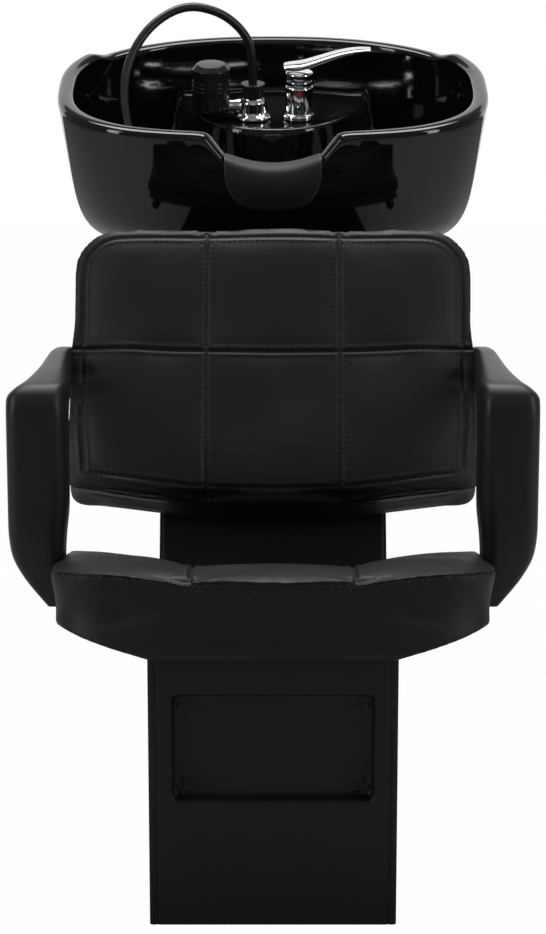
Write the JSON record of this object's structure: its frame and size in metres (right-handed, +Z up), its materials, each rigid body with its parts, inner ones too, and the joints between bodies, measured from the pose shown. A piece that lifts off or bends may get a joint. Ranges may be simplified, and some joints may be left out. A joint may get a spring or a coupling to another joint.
{
  "type": "backwash unit",
  "caption": "Salon backwash unit: tilted cushioned seat and reclined back with moulded arms on a box base, and a tilting ceramic bowl with mixer tap, hand spray and neck rest behind.",
  "frame": {"origin": "middle of the base's footprint on the floor", "axes": "+Z up, +Y from the seat towards the bowl, +X to the right as seen from in front of the seat"},
  "size_m": [0.6594, 1.2037, 1.0498],
  "materials": {
    "board": "sawn plywood",
    "vinyl": "soft sheen black vinyl over foam",
    "panel": "matte black",
    "zinc": "zinc plated",
    "steel": "black powder coat",
    "rod": "ground",
    "arm": "moulded self-skinned foam with a soft sheen",
    "washer": "plain",
    "rubber": "matte",
    "glaze": "gloss black glaze",
    "chrome": "polished",
    "brass": "plain",
    "tube": "plain white",
    "marker": "red mark",
    "black_plastic": "black",
    "hose": "smooth black"
  },
  "bodies": {
    "chair": {"base_plate": "board", "side_panel_left": "board", "side_panel_right": "board", "front_panel": "board", "window_back": "board", "seat_deck": "board", "column_panel": "board", "column_top": "steel", "rear_rails": "board", "rear_panel": "panel", "panel_screws": "zinc", "front_cover": "vinyl", "side_cover_left": "vinyl", "side_cover_right": "vinyl", "column_cover": "vinyl", "seat_board": "board", "seat_cushion": "vinyl", "seat_bolts": "zinc", "back_board": "board", "back_cushion": "vinyl", "back_bolts": "zinc", "armrest_left": "arm", "armrest_right": "arm", "arm_bracket_left": "steel", "arm_bracket_right": "steel", "bracket_bolts": "zinc", "arm_bolts": "zinc", "tilt_base": "steel", "tilt_bolts": "zinc", "pivot_rod": "rod", "pivot_nuts": "zinc", "friction_washers": "washer"},
    "bowl": {"bowl_carrier": "steel", "bowl_pads": "rubber", "bowl_bolts": "zinc", "bowl": "glaze", "neck_rest": "rubber", "drain_flange": "chrome", "drain_gasket": "rubber", "drain_nut": "brass", "drain_tailpiece": "tube", "mixer_flange": "chrome", "mixer_body": "chrome", "mixer_bonnet": "chrome", "mixer_nut": "brass", "temperature_marker": "marker", "breaker_body": "chrome", "breaker_cap": "black_plastic", "breaker_nut": "brass", "hose_nut": "black_plastic", "spray_hose": "hose", "spray_ferrule": "chrome", "spray_handle": "black_plastic", "spray_head": "black_plastic", "spray_face": "chrome"},
    "mixer_handle": {"mixer_hub": "chrome", "lever_pin": "rod"},
    "lever": {"mixer_lever": "chrome"},
    "strainer": {"hair_strainer": "chrome"}
  },
  "joints": [
    {"name": "bowl_tilt", "type": "hinge", "parent": "chair", "child": "bowl", "pos_m": [0, 0.33007, 0.6925], "axis": [-1, 0, 0], "range_deg": [-4, 12]},
    {"name": "handle_swivel", "type": "hinge", "parent": "bowl", "child": "mixer_handle", "pos_m": [0.039, 0.4826, 0.93374], "axis": [0, -0.1908, 0.9816], "range_deg": [-45, 45]},
    {"name": "lever_lift", "type": "hinge", "parent": "mixer_handle", "child": "lever", "pos_m": [0.025, 0.47897, 0.95239], "axis": [0, -0.9816, -0.1908], "range_deg": [0, 20]},
    {"name": "strainer_lift", "type": "slide", "parent": "bowl", "child": "strainer", "axis": [0, 0, 1], "range_m": [0, 0.1]}
  ]
}
